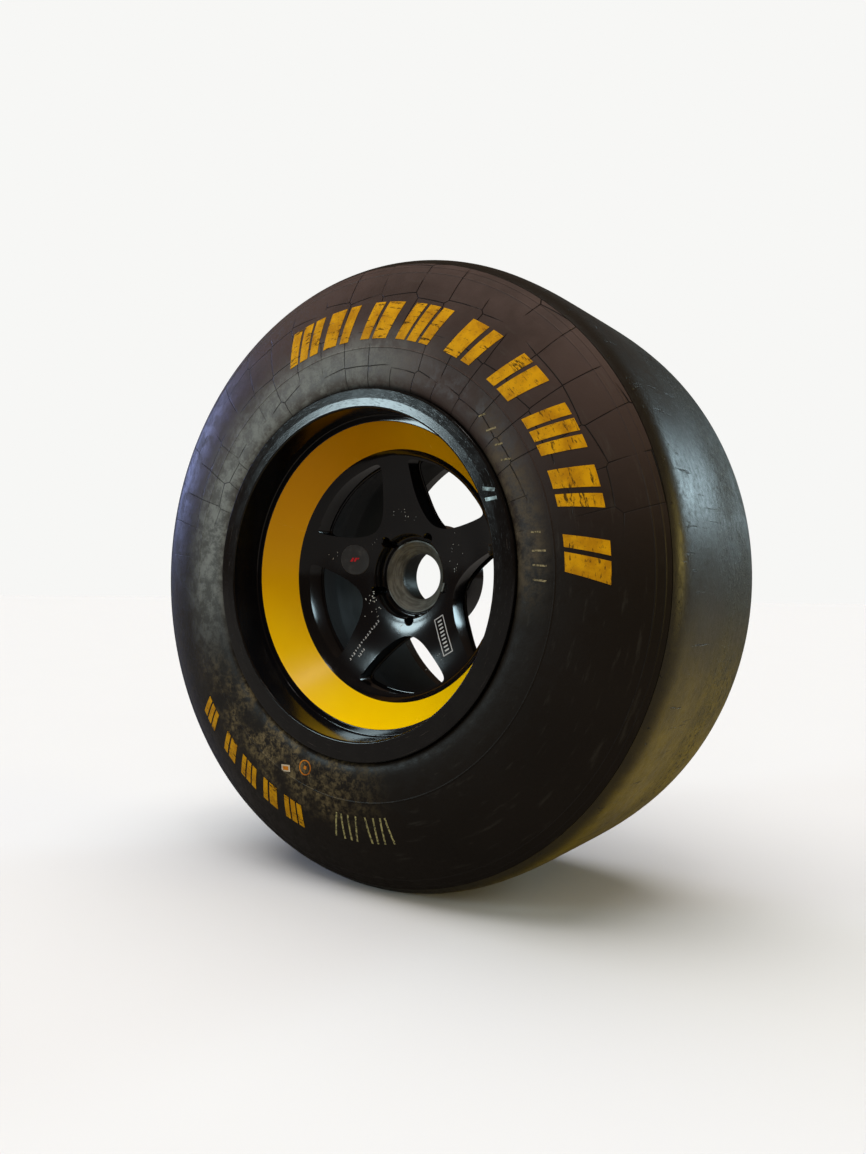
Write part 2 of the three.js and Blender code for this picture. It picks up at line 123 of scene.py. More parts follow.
def rounded(points, closed=False, steps=5):
    """Outline with its corners rounded. A point is (r, y), (r, y, fillet) or
    (r, y, fillet, slot); the slot holds from that point on. Returns (r, y, slot) points, with a
    support point beside each arc so that flat stretches stay flat in shading."""
    support = 0.6
    full = []
    slot = 0
    for p in points:
        slot = p[3] if len(p) > 3 else slot
        full.append((np.array(p[:2], float), p[2] if len(p) > 2 else 0, slot))
    out = []
    count = len(full)
    for i, (here, fillet, slot) in enumerate(full):
        ends = not closed and i in (0, count - 1)
        before = full[i - 1][0]
        after = full[(i + 1) % count][0]
        if ends or not fillet:
            out.append((*here, slot))
            continue
        to_before = (before - here) / np.linalg.norm(before - here)
        to_after = (after - here) / np.linalg.norm(after - here)
        half = math.acos(np.clip(to_before @ to_after, -1, 1)) / 2
        reach = fillet / math.tan(half)
        centre = here + (to_before + to_after) / np.linalg.norm(to_before + to_after) * (
            fillet / math.sin(half))
        start, end = here + to_before * reach, here + to_after * reach
        room_before = np.linalg.norm(before - here) - reach
        room_after = np.linalg.norm(after - here) - reach
        previous = full[i - 1][2]
        if room_before > 3 * support:
            out.append((*(start + to_before * support), previous))
        for k in range(steps + 1):
            t = k / steps
            along = start * (1 - t) + end * t - centre
            out.append((*(centre + along / np.linalg.norm(along) * fillet), slot))
        if room_after > 3 * support:
            out.append((*(end + to_after * support), slot))
    return out


def loop_faces(count, width, closed):
    """Quads between equal loops of points that stand round an axis. Each loop's ends are joined
    if it is closed."""
    faces = []
    for s in range(count):
        a, b = s * width, (s + 1) % count * width
        for i in range(width if closed else width - 1):
            j = (i + 1) % width
            faces.append((a + i, a + j, b + j, b + i))
    return faces


def lathe_parts(outline, segments, closed=True):
    """Vertices, quads and slots of an outline [(r, y, slot)] turned round Y."""
    verts = [polar(r, 360 * s / segments, y) for s in range(segments) for r, y, _ in outline]
    faces = loop_faces(segments, len(outline), closed)
    slots = [slot for _, _, slot in (outline if closed else outline[:-1])] * segments
    return verts, faces, slots


def ring(name, outline, materials, segments, smooth_angle=34):
    verts, faces, slots = lathe_parts(outline, segments)
    return make_mesh(name, verts, faces, materials, slots, smooth_angle)


def smooth_curve(points):
    """A function through [(x, y)] with no overshoot (monotone cubic)."""
    xs, ys = np.array(points, float).T
    gaps = np.diff(xs)
    slopes = np.diff(ys) / gaps
    tangents = np.r_[slopes[0], (slopes[1:] + slopes[:-1]) / 2, slopes[-1]]
    for i in range(1, len(xs) - 1):
        flattest = 0 if slopes[i - 1] * slopes[i] <= 0 else 3 * min(abs(slopes[i - 1:i + 1]))
        tangents[i] = np.clip(tangents[i], -flattest, flattest)

    def value(x):
        i = int(np.clip(np.searchsorted(xs, x) - 1, 0, len(gaps) - 1))
        t = (x - xs[i]) / gaps[i]
        return (ys[i] * (1 + 2 * t) * (1 - t) ** 2 + ys[i + 1] * t * t * (3 - 2 * t)
                + gaps[i] * (tangents[i] * t * (1 - t) ** 2 - tangents[i + 1] * t * t * (1 - t)))
    return value


# ---------------- shader helpers
MIX_A, MIX_B, MIX_RESULT = 6, 7, 2  # the Mix node's sockets in colour mode


class Paint:
    """A Principled material with short calls for its procedural nodes."""

    def __init__(self, name, base, roughness=0.5, metallic=0.0, specular=0.5):
        self.material = bpy.data.materials.new(name)
        self.material.use_nodes = True
        self.tree = self.material.node_tree
        self.shader = self.tree.nodes["Principled BSDF"]
        self.set("Base Color", (*base, 1))
        self.set("Roughness", roughness)
        self.set("Metallic", metallic)
        self.set("Specular IOR Level", specular)
        self._coordinates = None

    def set(self, socket, value):
        self._feed(self.shader.inputs[socket], value)

    def _feed(self, target, value):
        if isinstance(value, bpy.types.NodeSocket):
            self.tree.links.new(value, target)
        else:
            target.default_value = value

    def _new(self, kind, **settings):
        made = self.tree.nodes.new("ShaderNode" + kind)
        for key, value in settings.items():
            setattr(made, key, value)
        return made

    def _fill(self, made, **inputs):
        for socket, value in inputs.items():
            self._feed(made.inputs[socket], value)
        return made.outputs[0]

    def node(self, kind, *values, **settings):
        made = self._new(kind, **settings)
        for i, value in enumerate(values):
            self._feed(made.inputs[i], value)
        return made.outputs[0]

    def calc(self, operation, a, b=0.0):
        return self.node("Math", a, b, operation=operation)

    def times(self, a, b):
        return self.calc("MULTIPLY", a, b)

    def coordinates(self):
        """Object coordinates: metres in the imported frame."""
        if self._coordinates is None:
            self._coordinates = self._new("TexCoord").outputs["Object"]
        return self._coordinates

    def xyz(self):
        made = self._new("SeparateXYZ")
        self._feed(made.inputs[0], self.coordinates())
        return made.outputs

    def radius(self):
        x, _, z = self.xyz()
        squares = self.calc("ADD", self.times(x, x), self.times(z, z))
        return self.calc("SQRT", squares)

    def around(self, along, across):
        """Seamless wheel coordinates: low along and high across gives streaks round the wheel."""
        x, y, z = self.xyz()
        r = self.radius()
        turn_x = self.times(self.calc("DIVIDE", x, r), along)
        turn_z = self.times(self.calc("DIVIDE", z, r), along)
        out = self.times(self.calc("ADD", r, self.times(y, 0.6)), across)
        return self.node("CombineXYZ", turn_x, turn_z, out)

    def stretched(self, x, y, z):
        return self.node("VectorMath", self.coordinates(), (x, y, z), operation="MULTIPLY")

    def noise(self, scale, detail, roughness=0.55, where=None):
        return self._fill(self._new("TexNoise"), Vector=where or self.coordinates(),
                          Scale=scale, Detail=detail, Roughness=roughness)

    def cell_edges(self, where, randomness):
        """Distance to the nearest edge of Voronoi cells."""
        made = self._new("TexVoronoi", feature="DISTANCE_TO_EDGE")
        return self._fill(made, Vector=where, Scale=1, Randomness=randomness)

    def band(self, value, low, high, to_low=0.0, to_high=1.0):
        """Smoothly maps low..high to to_low..to_high."""
        return self.node("MapRange", value, low, high, to_low, to_high,
                         interpolation_type="SMOOTHSTEP")

    def mix(self, factor, a, b):
        made = self._new("Mix", data_type="RGBA")
        for i, v in ((0, factor), (MIX_A, a), (MIX_B, b)):
            self._feed(made.inputs[i], (*v, 1) if isinstance(v, tuple) else v)
        return made.outputs[MIX_RESULT]

    def finish(self, colour, roughness, *layers):
        """Sets colour, roughness and bump layers of (height 0..1, depth in mm), and returns the
        material."""
        self.set("Base Color", colour)
        self.set("Roughness", roughness)
        normal = None
        for height, depth in layers:
            made = self._new("Bump")
            if normal:
                self._feed(made.inputs["Normal"], normal)
            normal = self._fill(made, Strength=1.0, Distance=depth * MM, Height=height)
        self.set("Normal", normal)
        return self.material


# ---------------- materials
def lacquer_black():
    black = (0.0035, 0.0035, 0.0045)
    p = Paint("lacquer_black", black)
    dust = p.band(p.noise(26, 6, 0.65), 0.5, 0.78)
    scuff = p.band(p.noise(9, 5, 0.6, p.stretched(1, 1, 4)), 0.58, 0.74)
    return p.finish(p.mix(p.times(dust, 0.3), black, (0.02, 0.018, 0.016)),
                    p.calc("ADD", p.times(scuff, 0.12), 0.13),
                    (p.noise(240, 3), 0.02), (p.noise(18, 2), 0.12))


def lacquer_lip():
    """Black lacquer with grime, wear and fine scratches that run round the lip."""
    p = Paint("lacquer_lip", (0.004, 0.0035, 0.0035))
    grime = p.band(p.noise(60, 8, 0.7), 0.42, 0.7)
    streak = p.band(p.noise(1, 6, 0.6, p.around(34, 900)), 0.56, 0.7)
    worn = p.calc("MAXIMUM", p.times(grime, 0.55), streak)
    base = p.mix(p.times(worn, 0.2), (0.003, 0.0026, 0.0026), (0.024, 0.021, 0.018))
    scratch = p.band(p.noise(1, 4, 0.6, p.around(5, 1300)), 0.66, 0.7)
    return p.finish(p.mix(p.times(scratch, 0.5), base, (0.12, 0.1, 0.085)),
                    p.calc("ADD", p.times(worn, 0.12), 0.16),
                    (p.noise(900, 4), 0.012), (streak, 0.02))


def lacquer_yellow():
    """Yellow lacquer, clouded and rubbed, with painted shade that turns it more orange towards the
    top.
    """
    p = Paint("lacquer_yellow", (0.88, 0.5, 0.0), specular=0.25)
    _, _, z = p.xyz()
    cloud = p.band(p.noise(11, 5, 0.6), 0.35, 0.7)
    rub = p.band(p.noise(1, 5, 0.6, p.around(9, 130)), 0.6, 0.74)
    # painted shade: the lacquer is mixed to a deeper orange towards the top
    top_shade = p.mix(p.band(z, -0.13, 0.13), (0.95, 0.6, 0.0), (0.95, 0.42, 0.0))
    worn = p.mix(p.times(cloud, 0.2), top_shade, (0.76, 0.37, 0.0))
    return p.finish(p.mix(p.times(rub, 0.2), worn, (0.95, 0.58, 0.0)),
                    p.calc("ADD", p.times(rub, 0.12), 0.24),
                    (p.noise(300, 3), 0.015), (p.noise(14, 2), 0.1))


def barrel_grey():
    """Dull, dusty paint of the rear barrel."""
    p = Paint("barrel_grey", (0.012, 0.013, 0.014), specular=0.1)
    cloud = p.band(p.noise(14, 6, 0.62), 0.35, 0.75)
    dust = p.band(p.noise(1, 6, 0.7, p.around(8, 60)), 0.5, 0.75)
    base = p.mix(cloud, (0.004, 0.0045, 0.005), (0.008, 0.009, 0.0095))
    return p.finish(p.mix(p.times(dust, 0.25), base, (0.025, 0.023, 0.02)),
                    p.band(cloud, 0, 1, 0.5, 0.66),
                    (p.noise(520, 4), 0.04))


def seat_metal():
    """Bare machined seat: turned rings, grey at the mouth, with painted shade that darkens it
    deeper in the bore.
    """
    p = Paint("seat_metal", (0.1, 0.097, 0.085), metallic=0.25, specular=0.3)
    _, y, _ = p.xyz()
    turned = p.noise(1, 3, 0.5, p.around(2, 1500))
    stain = p.band(p.noise(70, 6, 0.65), 0.4, 0.7)
    # painted shade: near black deeper in the bore
    deep = p.band(y, -0.028, -0.021)
    base = p.mix(stain, (0.2, 0.203, 0.185), (0.11, 0.11, 0.097))
    base = p.mix(p.times(p.band(turned, 0.4, 0.62), 0.6), base, (0.07, 0.07, 0.06))
    return p.finish(p.mix(deep, base, (0.014, 0.015, 0.01)),
                    p.band(stain, 0, 1, 0.4, 0.55),
                    (turned, 0.06), (p.noise(420, 4), 0.02))


def machined(name, base, dark, roughness=0.32):
    p = Paint(name, base, metallic=1.0)
    stain = p.band(p.noise(160, 5, 0.6), 0.4, 0.72)
    return p.finish(p.mix(stain, base, dark),
                    p.band(stain, 0, 1, roughness, roughness + 0.22),
                    (p.noise(900, 3), 0.015))


def tread_tint(p, x, y, z):
    """Patchy grey, a painted olive reflection low on the right, and browner at the outboard
    shoulder.
    """
    patch = p.band(p.noise(10, 6, 0.6), 0.35, 0.72)
    # painted reflection: olive low on the right of the tread
    low_right = p.times(p.band(z, 0.0, -0.2), p.band(x, 0.0, 0.16))
    olive_reflection = p.times(low_right, p.band(p.noise(34, 7, 0.7), 0.3, 0.75, 0.5, 1))
    shoulder = p.band(y, -0.083, -0.107)
    base = p.mix(patch, (0.012, 0.014, 0.016), (0.026, 0.03, 0.033))
    base = p.mix(olive_reflection, base, (0.34, 0.26, 0.018))
    return p.mix(p.times(shoulder, 0.9), base, (0.011, 0.008, 0.0055))


def rubber_tread():
    """Worn slick: smooth by the outboard shoulder, torn and grainy towards the inboard side."""
    p = Paint("rubber_tread", (0.04, 0.046, 0.05))
    x, y, z = p.xyz()
    torn = p.times(p.band(y, -0.045, 0.04), p.band(p.noise(13, 4), 0.3, 0.55))
    pits = p.band(p.noise(180, 5, 0.7), 0.47, 0.38)
    specks = p.band(p.noise(290, 3, 0.6), 0.55, 0.64)
    base = p.mix(p.times(pits, p.times(torn, 0.75)), tread_tint(p, x, y, z),
                 (0.004, 0.004, 0.004))
    base = p.mix(p.times(specks, p.times(torn, 0.5)), base, (0.11, 0.115, 0.11))
    # short cracks across the tread, along the axle
    cracks = p.band(p.noise(1, 4, 0.7, p.stretched(160, 9, 160)), 0.62, 0.67)
    cracks = p.times(cracks, p.band(y, 0.03, -0.06))
    base = p.mix(p.times(cracks, 0.8), base, (0.003, 0.003, 0.003))
    coarse = p.noise(150, 6, 0.72)
    worn = p.calc("ADD", p.band(coarse, 0.3, 0.7, 0.3, 0.46), p.times(torn, 0.22))
    return p.finish(base, p.calc("ADD", worn, p.times(pits, 0.1)),
                    (p.times(coarse, p.band(torn, 0, 1, 0.25, 1)), 0.8),
                    (p.noise(620, 6, 0.75), 0.12), (p.times(specks, torn), 0.3),
                    (cracks, -0.3))


def side_tint(p, x, z, fine):
    """Dark brown rubber, paler towards the top and the left: partly dust, partly painted sheen."""
    clouds = p.band(p.noise(7, 7, 0.62), 0.3, 0.64)
    # top: dust and a painted sheen, paler and browner towards the top
    top = p.times(p.band(z, -0.02, 0.24), p.band(clouds, 0, 1, 0.6, 1))
    # left: dust and a painted sheen, greyer towards the left
    left = p.times(p.band(x, 0.0, -0.24), p.band(clouds, 0, 1, 0.45, 1))
    left = p.times(left, p.band(z, -0.17, 0.02, 0.12, 0.85))
    base = p.mix(p.band(p.noise(5, 3), 0.3, 0.7), (0.0075, 0.005, 0.003), (0.0115, 0.008, 0.0055))
    base = p.mix(p.times(top, 0.9), base, (0.076, 0.049, 0.042))
    return p.mix(p.times(left, p.band(fine, 0, 1, 0.35, 0.8)), base, (0.054, 0.054, 0.052))


def side_dirt(p, base, x, z, r, fine):
    """Grey scuffs round the rim at the upper left, sandy dirt low on the left, and a smear
    beside the rim on the right."""
    upper_left = p.band(p.calc("SUBTRACT", z, x), 0.06, 0.24)
    scuff = p.times(p.times(p.band(r, 0.25, 0.2), upper_left), p.band(fine, 0, 1, 0.3, 0.9))
    low_left = p.times(p.band(z, -0.06, -0.17), p.band(x, 0.06, -0.06))
    low_left = p.times(low_left, p.band(r, 0.258, 0.222))
    low_left = p.times(low_left, p.band(p.noise(26, 5, 0.6), 0.38, 0.6))
    dirt = p.times(low_left, p.band(p.noise(150, 8, 0.78), 0.42, 0.62))
    right = p.times(p.band(x, 0.13, 0.17), p.band(r, 0.222, 0.195))
    smear = p.times(right, p.times(p.band(z, -0.05, 0.02), fine))
    base = p.mix(p.times(scuff, 0.85), base, (0.27, 0.29, 0.275))
    base = p.mix(p.times(dirt, 0.8), base, (0.2, 0.15, 0.07))
    return p.mix(p.times(smear, 0.7), base, (0.13, 0.1, 0.06))


def side_cracks(p, x, z, r):
    """Fine cracks in the upper half, square across the wheel, as old rubber has."""
    turn = p.times(p.calc("ARCTAN2", x, z), 7)
    grid = p.node("CombineXYZ", turn, p.times(r, 28), 0.0)
    cracks = p.band(p.cell_edges(grid, 0.22), 0.02, 0.004)
    where = p.times(p.band(z, 0.0, 0.1), p.band(p.noise(16, 3), 0.42, 0.5))
    return p.times(cracks, where)


def rubber_side():
    p = Paint("rubber_side", (0.009, 0.0062, 0.004), specular=0.22)
    x, _, z = p.xyz()
    r = p.radius()
    fine = p.band(p.noise(75, 9, 0.75), 0.36, 0.66)
    base = side_dirt(p, side_tint(p, x, z, fine), x, z, r, fine)
    # painted blue sheen near the tyre's outer edge on the left
    blue = p.times(p.band(r, 0.255, 0.31), p.band(x, -0.14, -0.27))
    base = p.mix(p.times(blue, p.band(fine, 0, 1, 0.4, 0.8)), base, (0.045, 0.048, 0.075))
    streak = p.band(p.noise(1, 6, 0.62, p.around(7, 150)), 0.57, 0.72)
    base = p.mix(p.times(streak, 0.14), base, (0.09, 0.085, 0.07))
    crack = side_cracks(p, x, z, r)
    return p.finish(p.mix(p.times(crack, 0.85), base, (0.002, 0.002, 0.002)),
                    p.band(fine, 0, 1, 0.38, 0.56),
                    (p.noise(700, 6, 0.7), 0.08), (p.noise(90, 5), 0.25), (crack, -0.5))


def rubber_plain(name):
    p = Paint(name, (0.012, 0.012, 0.012))
    return p.finish(p.mix(p.noise(80, 5), (0.008, 0.008, 0.008), (0.02, 0.02, 0.02)), 0.75,
                    (p.noise(500, 4), 0.05))


def worn_paint(name, base, deep, crossing=260.0):
    """Paint on rubber, cracked in short dark lines that run round the wheel."""
    p = Paint(name, base, specular=0.15)
    lines = p.band(p.noise(1, 5, 0.7, p.around(16, crossing)), 0.56, 0.64)
    flecks = p.band(p.noise(330, 5, 0.7), 0.56, 0.68)
    gone = p.calc("MAXIMUM", p.times(lines, 0.9), p.times(flecks, 0.45))
    shade = p.mix(p.band(p.noise(60, 4), 0.35, 0.7), base, deep)
    return p.finish(p.mix(gone, shade, (0.03, 0.018, 0.004)),
                    p.band(gone, 0, 1, 0.5, 0.75),
                    (gone, -0.12), (p.noise(600, 3), 0.04))


def chalk(name, base):
    p = Paint(name, base)
    rub = p.band(p.noise(420, 6, 0.8), 0.44, 0.6)
    return p.finish(p.mix(rub, base, (0.035, 0.03, 0.018)), 0.9, (rub, 0.08))


def plastic(name, base, light, roughness):
    p = Paint(name, base)
    cloud = p.noise(120, 6, 0.65)
    return p.finish(p.mix(p.band(cloud, 0.45, 0.75), base, light),
                    p.band(cloud, 0.3, 0.7, roughness - 0.08, roughness + 0.1),
                    (p.noise(700, 3), 0.02))


BLACK = lacquer_black()
LIP = lacquer_lip()
YELLOW = lacquer_yellow()
GREY = barrel_grey()
SEAT = seat_metal()
STEEL = machined("steel", (0.5, 0.5, 0.5), (0.2, 0.18, 0.16))
BRASS = machined("brass", (0.6, 0.42, 0.17), (0.26, 0.17, 0.07))
TREAD = rubber_tread()
SIDE = rubber_side()
INNER = rubber_plain("rubber_inner")
SEAL = rubber_plain("rubber_seal")
LETTER = worn_paint("side_yellow", (0.68, 0.33, 0.002), (0.46, 0.2, 0.002))
ORANGE = worn_paint("side_orange", (0.6, 0.2, 0.01), (0.4, 0.12, 0.01), crossing=120.0)
CREAM = worn_paint("side_cream", (0.6, 0.5, 0.36), (0.4, 0.3, 0.2), crossing=120.0)
CHALK = chalk("chalk_yellow", (0.42, 0.37, 0.15))
CHALK_DIM = chalk("chalk_dim", (0.34, 0.28, 0.15))
STICKER = plastic("sticker_grey", (0.022, 0.02, 0.02), (0.05, 0.046, 0.046), 0.5)
RED = plastic("sticker_red", (0.55, 0.005, 0.012), (0.7, 0.02, 0.03), 0.4)
WHITE = plastic("print_white", (0.5, 0.5, 0.52), (0.66, 0.66, 0.68), 0.5)
CHIP = plastic("bare_chip", (0.5, 0.5, 0.47), (0.75, 0.74, 0.7), 0.4)
CAP = plastic("cap_plastic", (0.012, 0.012, 0.013), (0.03, 0.03, 0.03), 0.5)
FOIL = machined("foil", (0.42, 0.47, 0.46), (0.14, 0.15, 0.14), 0.38)


# ---------------- rim
front_face = smooth_curve([(RECESS_R, -51), (54, -52.2), (88, -62), (116, -68.2), (124, -71.8),
                           (CONE_R, CONE_Y)])
BOSS_R = 57.5
RING_REAR_R, RING_REAR_Y = 129, -40
rear_face = smooth_curve([(BOSS_R, -25), (84, -32.5), (116, -44), (124, -44.5),
                          (RING_REAR_R, RING_REAR_Y)])
EDGE_ROUND = 3.2
RECESS_ROUND = 2.0
REAR_EDGE_ROUND = 2.2
NOSE_STEPS, FLANK_STEPS, BEND_STEPS, CORNER_STEPS, ARC_STEPS = 12, 18, 5, 6, 18
EDGE_STEPS = 6  # across a window's rounded edge
WEB_STEPS = (0.0, 0.12, 0.27, 0.44, 0.62, 0.8, 1.0)  # from there to the edge of its cell


def flat_polar(radius, angle):
    x, _, z = polar(radius, angle, 0)
    return np.array((x, z))


def bezier(a, b, c, t):
    a, b, c = map(np.array, (a, b, c))
    return (1 - t) ** 2 * a + 2 * t * (1 - t) * b + t * t * c


def window_half():
    """Half of a window's edge, from its hub end to the middle of its outer edge. Each row has a
    point of the edge and the rule that gives its partner on the edge of the window's cell:
    ("in" or "out", angle) on the inner or outer circle, or ("spoke", part of the way out)."""
    nose, control, flank = (59, 0), (59, 22), (98, 53.7)
    corner, arc_from, window_r = (108.3, 62.2), 24.0, 124.5
    arc_start = flat_polar(window_r, arc_from)
    nose_part, flank_part = 0.35, 0.80
    rows = []
    for i in range(NOSE_STEPS):
        t = i / NOSE_STEPS
        rows.append((bezier(nose, control, flank, nose_part * t), ("in", HALF * t)))
    for i in range(FLANK_STEPS):
        t = i / FLANK_STEPS
        rows.append((bezier(nose, control, flank, nose_part + (1 - nose_part) * t),
                     ("spoke", flank_part * t)))
    for i in range(BEND_STEPS):
        t = i / BEND_STEPS
        rows.append((bezier(flank, corner, arc_start, 0.5 * t),
                     ("spoke", flank_part + (1 - flank_part) * t)))
    step = HALF / (CORNER_STEPS + ARC_STEPS)
    for i in range(CORNER_STEPS):
        t = i / CORNER_STEPS
        rows.append((bezier(flank, corner, arc_start, 0.5 + 0.5 * t), ("out", HALF - step * i)))
    for i in range(ARC_STEPS + 1):
        t = i / ARC_STEPS
        rows.append((flat_polar(window_r, arc_from * (1 - t)),
                     ("out", HALF - step * (CORNER_STEPS + i))))
    return rows


def cell_edge(rule, inner_r, outer_r):
    kind, value = rule
    if kind == "spoke":
        return flat_polar(inner_r + (outer_r - inner_r) * value, HALF)
    return flat_polar(inner_r if kind == "in" else outer_r, value)


def window_loops(inner_r, outer_r, height, roundness, outward):
    """Rings of (p, q, y) from the window's edge out to the cell's edge, for one window.
    outward is +1 if the face looks to +Y and -1 if it looks to -Y."""
    rows = window_half()
    points = [w for w, _ in rows] + [w * (1, -1) for w, _ in rows[-2:0:-1]]
    edges = [cell_edge(rule, inner_r, outer_r) for _, rule in rows]
    edges += [e * (1, -1) for e in edges[-2:0:-1]]
    points, edges = np.array(points), np.array(edges)
    tangent = np.roll(points, -1, 0) - np.roll(points, 1, 0)
    normal = np.stack([tangent[:, 1], -tangent[:, 0]], 1)
    normal /= np.linalg.norm(normal, axis=1)[:, None]
    room = np.linalg.norm(edges - points, axis=1)
    round_r = np.minimum(roundness, 0.45 * room)
    loops = []
    for k in range(EDGE_STEPS + 1):
        turn = math.pi / 2 * k / EDGE_STEPS
        across = round_r * (1 - math.cos(turn))
        flat = points + normal * across[:, None]
        drop = round_r * (1 - math.sin(turn))
        loops.append([(*f, height(np.hypot(*f)) - outward * d) for f, d in zip(flat, drop)])
    start = points + normal * (round_r * 1.15)[:, None]
    for t in WEB_STEPS:
        flat = start * (1 - t) + edges * t
        loops.append([(*f, height(np.hypot(*f))) for f in flat])
    return loops


def spin(loop, angle):
    """A ring of (p, q, y) turned round the axle, as (x, y, z) points."""
    turn = math.radians(angle)
    cos, sin = math.cos(turn), math.sin(turn)
    return [(p * cos - q * sin, y, p * sin + q * cos) for p, q, y in loop]


def add_strip(verts, faces, loop_a, loop_b):
    base = len(verts)
    count = len(loop_a)
    verts.extend(loop_a)
    verts.extend(loop_b)
    for i in range(count):
        j = (i + 1) % count
        faces.append((base + i, base + j, base + count + j, base + count + i))


def star_parts():
    """Spokes and ring: front face, window walls and rear face."""
    verts, faces = [], []
    front = window_loops(RECESS_R + RECESS_ROUND, CONE_R, front_face, EDGE_ROUND, -1)
    rear = window_loops(BOSS_R, RING_REAR_R, rear_face, REAR_EDGE_ROUND, 1)
    for angle in WINDOW_ANGLES:
        for loops in (front, rear):
            turned = [spin(loop, angle) for loop in loops]
            for a, b in zip(turned, turned[1:]):
                add_strip(verts, faces, a, b)
        add_strip(verts, faces, spin(front[0], angle), spin(rear[0], angle))
    return verts, faces, [0] * len(faces)


def hub_parts():
    """Nut recess, insert bore and rear boss, between the star's two inner circles."""
    top = RECESS_R + RECESS_ROUND
    arc = [(top - RECESS_ROUND * math.sin(t),
            front_face(top) + RECESS_ROUND * (1 - math.cos(t)), 0)
           for t in np.linspace(0, math.pi / 2, 5)]
    seat_bore_r, rear_bore_r, floor, step = 38.7, 35.2, -36.5, -14
    wall = [(RECESS_R, floor, 2.5), (seat_bore_r + 0.9, floor, 0.4), (seat_bore_r, floor + 0.9),
            (seat_bore_r, step), (rear_bore_r, step), (rear_bore_r, HUB_REAR_Y - 0.5, 0.3),
            (rear_bore_r + 0.6, HUB_REAR_Y, 0.3), (BOSS_R, HUB_REAR_Y, 1.5),
            (BOSS_R, rear_face(BOSS_R))]
    outline = arc + rounded([arc[-1][:2], *wall])[1:]
    return lathe_parts(outline, NOSE_STEPS * 2 * SPOKES, closed=False)


def barrel_parts():
    """The ring's outer circles joined round the whole rim section. A point's last number is
    its slot: 0 black, 1 yellow, 2 lip, 3 grey."""
    flange = [(FLANGE_R, 144, 2.4), (FLANGE_R - 0.6, 138.3, 1.5), (172, 133, 3),
              (166.4, 130.4, 2), (165.1, 127, 1), (163.6, 110, 1)]
    outboard = [
        (CONE_R, CONE_Y, 0, 1), (DISH_R, DISH_Y, 1.0, 0), (160, DISH_Y + 0.2, 1.2, 0),
        (160.8, -RIM_HALF, 1.8, 2), (170, -RIM_HALF + 0.6, 12, 2),
        *[(r, -y, fillet, 2) for r, y, fillet in flange],
        (157.6, -109.2, 2, 0), (136.1, CONE_Y, 6, 0), (136, RING_REAR_Y, 6, 0),
    ]
    inboard = [
        (138, -31, 6, 3), (154.5, 6, 20, 3), (161, 39, 20, 3), (162.8, 104, 3, 3),
        *[(r, y, fillet, 3) for r, y, fillet in flange[::-1]],
        (170, RIM_HALF - 0.6, 12, 2), (158.4, RIM_HALF, 3, 2), (157.8, 128, 8, 3),
        (156, 40, 30, 3), (149, 8, 30, 3), (132, -30, 8, 3), (RING_REAR_R, RING_REAR_Y, 0, 3),
    ]
    outline = rounded(outboard + inboard, steps=6)
    segments = (CORNER_STEPS + ARC_STEPS) * 2 * SPOKES
    return lathe_parts(outline, segments, closed=False)


def join_parts(*parts):
    verts, faces, slots = [], [], []
    for part_verts, part_faces, part_slots in parts:
        base = len(verts)
        verts.extend(part_verts)
        faces.extend(tuple(i + base for i in face) for face in part_faces)
        slots.extend(part_slots)
    return verts, faces, slots


def cut(obj, cutter):
    """Cuts the cutter out of obj for good."""
    modifier = obj.modifiers.new("cut", "BOOLEAN")
    modifier.object = cutter
    modifier.operation = "DIFFERENCE"
    modifier.solver = "EXACT"
    bpy.context.view_layer.update()
    cut_mesh = bpy.data.meshes.new_from_object(
        obj.evaluated_get(bpy.context.evaluated_depsgraph_get()))
    obj.modifiers.clear()
    old = obj.data
    obj.data = cut_mesh
    bpy.data.meshes.remove(old)
    bpy.data.objects.remove(cutter)


def move_to_peg(obj, angle):
    x, _, z = polar(PEG_CIRCLE_R, angle, 0)
    obj.data.transform(Matrix.Translation((x * MM, 0, z * MM)))


def peg_cutter(angle):
    """The peg hole with its chamfered mouth and the wider seat of its bush."""
    front, rear, mouth_r, seat_r, seat_y = -60, HUB_REAR_Y + 4, PEG_R + 1.3, 7.3, -12.3
    outline = [(0, front), (mouth_r, front), (mouth_r, -51.9), (PEG_R, -50.4),
               (PEG_R, seat_y), (seat_r, seat_y), (seat_r, rear), (0, rear)]
    verts, faces, _ = lathe_parts([(r, y, 0) for r, y in outline], PEG_SIDES, closed=False)
    cutter = make_mesh("peg_cutter", verts, faces, [BLACK])
    move_to_peg(cutter, angle)
    return cutter


def make_rim():
    parts = join_parts(star_parts(), hub_parts(), barrel_parts())
    rim = make_mesh("rim_forging", *parts[:2], [BLACK, YELLOW, LIP, GREY], parts[2], 40)
    for angle in WINDOW_ANGLES:
        cut(rim, peg_cutter(angle))
    weld_and_smooth(rim, 40)
    spokes = [f"spoke_{i + 1}" for i in range(SPOKES)]
    forged = ("outboard_barrel", "spoke_ring", *spokes, "hub_boss", "inboard_barrel")
    place(rim, forged)


def make_insert():
    """The nut's cone, the hub bore behind it and the spigot bore at the rear."""
    spigot_r, bore_r, seat_r, rear = 30.6, 24.5, 36.7, HUB_REAR_Y - 0.5
    outline = rounded([(38.5, -37, 0.5), (38.5, -14.3, 0.4), (35, -14.3), (35, rear, 0.5),
                       (spigot_r, rear, 0.8), (spigot_r, -20, 0.6), (bore_r, -22, 0.5),
                       (bore_r, -26, 0.8), (seat_r, -37, 0.3)], closed=True)
    insert = ring("nut_seat", outline, [SEAT], 144, 30)
    place(insert, ("nut_seat_insert",))


